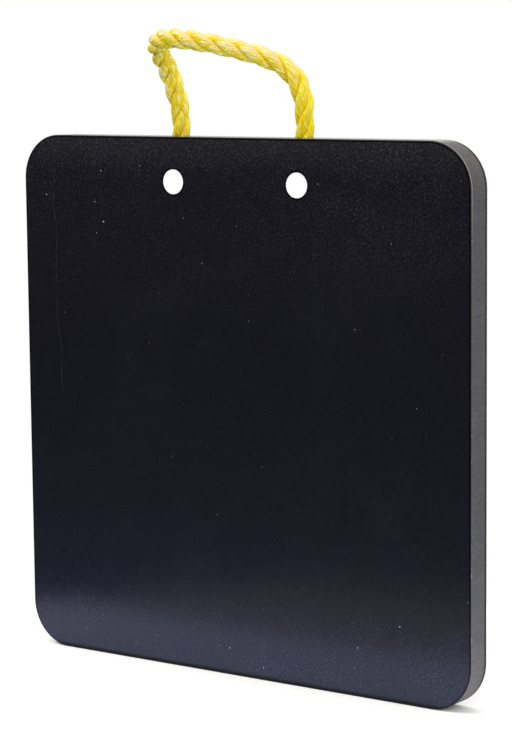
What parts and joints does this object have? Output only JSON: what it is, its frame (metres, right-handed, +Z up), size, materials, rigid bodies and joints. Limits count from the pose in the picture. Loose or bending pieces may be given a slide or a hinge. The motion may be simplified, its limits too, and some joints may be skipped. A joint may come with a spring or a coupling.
{
  "type": "outrigger pad",
  "caption": "Square outrigger pad: a thick black plastic slab with rounded corners, a yellow rope carrying handle and white plugs over the rope ends.",
  "frame": {"origin": "middle of the slab's lower edge, halfway through its thickness", "axes": "+Z up from the lower edge to the rope handle, +Y through the thickness from the front face to the back face, +X along the slab to the right of someone who looks at the front face"},
  "size_m": [0.4572, 0.0601, 0.5464],
  "materials": {
    "slab": "satin, cut edges duller",
    "rope": "yellow laid polypropylene fibre with pale streaks",
    "melted_rope": "melted and set, glossy and darker than the rope",
    "plug": "white, smooth satin"
  },
  "bodies": {
    "slab": {"pad": "slab", "left_rope_tail": "rope", "right_rope_tail": "rope", "left_stop_head": "melted_rope", "right_stop_head": "melted_rope", "front_left_plug": "plug", "front_right_plug": "plug", "back_left_plug": "plug", "back_right_plug": "plug"},
    "handle": {"rope_loop": "rope"}
  },
  "joints": [
    {"name": "handle_fold", "type": "hinge", "parent": "slab", "child": "handle", "pos_m": [0, 0, 0.4655], "axis": [1, 0, 0], "range_deg": [-85, 85], "stiffness_Nm_per_rad": 0.5}
  ]
}
